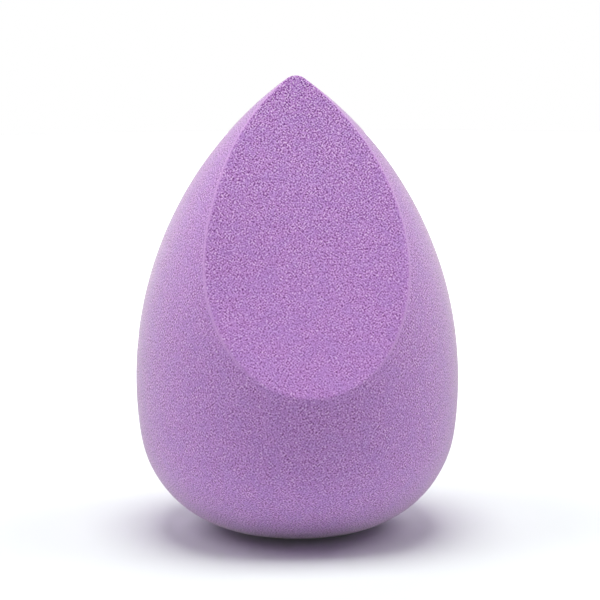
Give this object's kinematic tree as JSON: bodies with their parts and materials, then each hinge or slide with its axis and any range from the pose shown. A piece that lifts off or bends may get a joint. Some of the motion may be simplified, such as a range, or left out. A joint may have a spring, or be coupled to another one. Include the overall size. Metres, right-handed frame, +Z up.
{
  "type": "makeup sponge",
  "caption": "Teardrop makeup sponge of soft foam, with one slanted flat cut from the tip down to the waist, for blending make-up on the face.",
  "frame": {"origin": "middle of the flat foot, on the sponge's upright axis", "axes": "+Z up along the axis from the foot to the tip; the slanted cut faces -Y and up; X across, with the sponge alike on both sides"},
  "size_m": [0.0424, 0.0424, 0.06],
  "materials": {
    "foam": "matte lilac open-cell foam"
  },
  "bodies": {
    "root": {"foam_body": "foam"}
  },
  "joints": []
}
